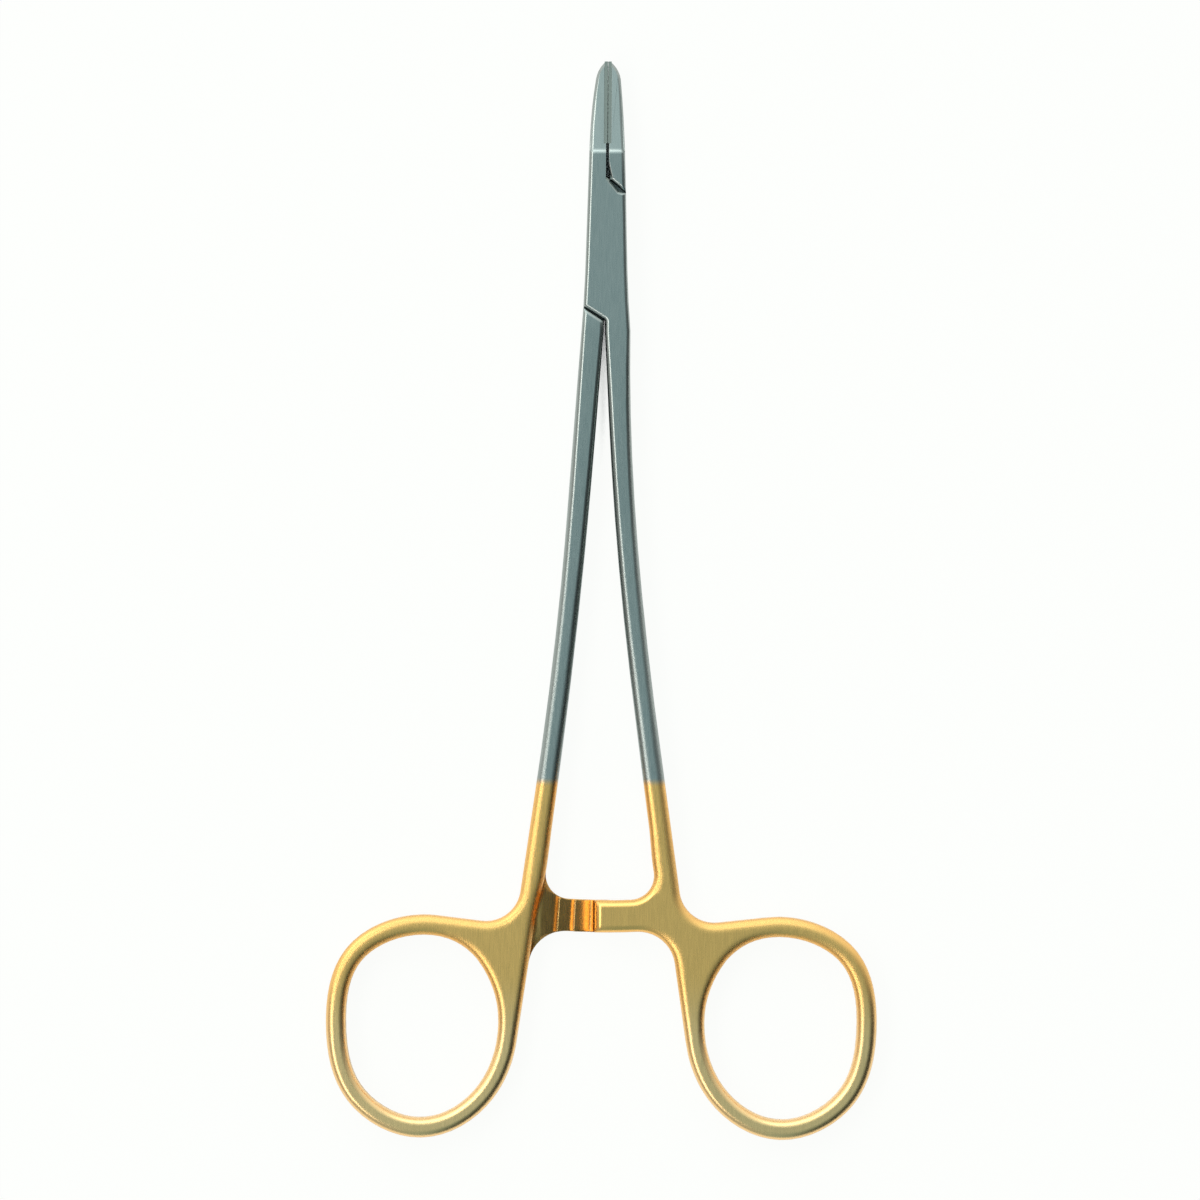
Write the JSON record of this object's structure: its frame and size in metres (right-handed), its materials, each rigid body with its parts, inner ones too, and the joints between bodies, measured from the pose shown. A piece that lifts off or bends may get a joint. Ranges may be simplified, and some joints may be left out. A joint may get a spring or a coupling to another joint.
{
  "type": "surgical needle holder",
  "caption": "Slender surgical needle holder with box lock, tapered jaws with carbide inserts, ratchet and gold-plated finger rings, closed.",
  "frame": {"origin": "hinge axis of the box lock at the instrument's back face", "axes": "+Y along the closed jaws to their tips, +Z out of the front face, which carries the box half's ratchet bar, +X to the right seen from the front; the hinge turns about Z"},
  "size_m": [0.0666, 0.1301, 0.0044],
  "materials": {
    "steel": "satin brushed stainless steel; finger rings and ratchet gold-plated",
    "carbide": "ground tungsten carbide, dull grey"
  },
  "bodies": {
    "box_body": {"box_half": "steel", "hinge_pin": "steel", "left_jaw_insert": "carbide"},
    "tongue_body": {"tongue_half": "steel", "right_jaw_insert": "carbide"}
  },
  "joints": [
    {"name": "box_lock_hinge", "type": "hinge", "parent": "box_body", "child": "tongue_body", "pos_m": [0, 0, 0.0022], "axis": [0, 0, -1], "range_deg": [0, 40]}
  ]
}
